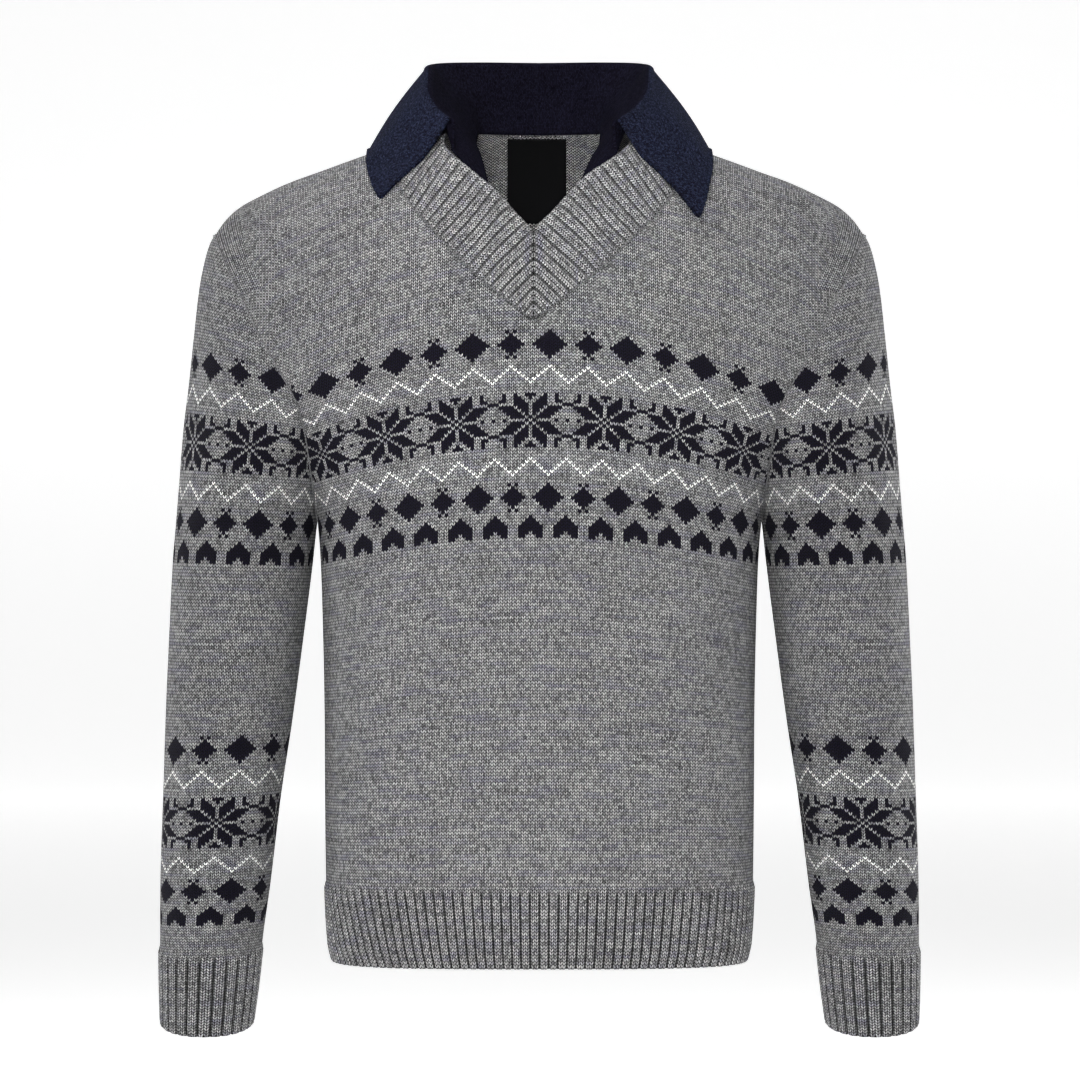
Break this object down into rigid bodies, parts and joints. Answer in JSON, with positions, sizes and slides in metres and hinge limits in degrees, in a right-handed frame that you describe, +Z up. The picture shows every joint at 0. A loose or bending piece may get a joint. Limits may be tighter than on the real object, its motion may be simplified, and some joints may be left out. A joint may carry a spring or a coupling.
{
  "type": "knitted v-neck sweater",
  "caption": "Hollow knitted pullover on no wearer: set-in long sleeves, ribbed V neckband with a turn-down collar, ribbed hem and cuffs.",
  "frame": {"origin": "centre of the neck base, at the height where the shoulder seams meet the neck, where the wearer's neck holds the garment", "axes": "+X to the wearer's left, -Y to the front, +Z up"},
  "size_m": [0.584, 0.2132, 0.7507],
  "materials": {
    "grey_knit": "matt melange knit",
    "grey_rib": "matt melange rib knit",
    "navy_knit": "matt fine knit",
    "black_label": "woven, slight sheen"
  },
  "bodies": {
    "root": {"front": "grey_knit", "back": "grey_knit", "sleeve_left": "grey_knit", "sleeve_right": "grey_knit", "neckband_left": "grey_rib", "neckband_right": "grey_rib", "collar": "navy_knit", "label": "black_label"}
  },
  "joints": []
}
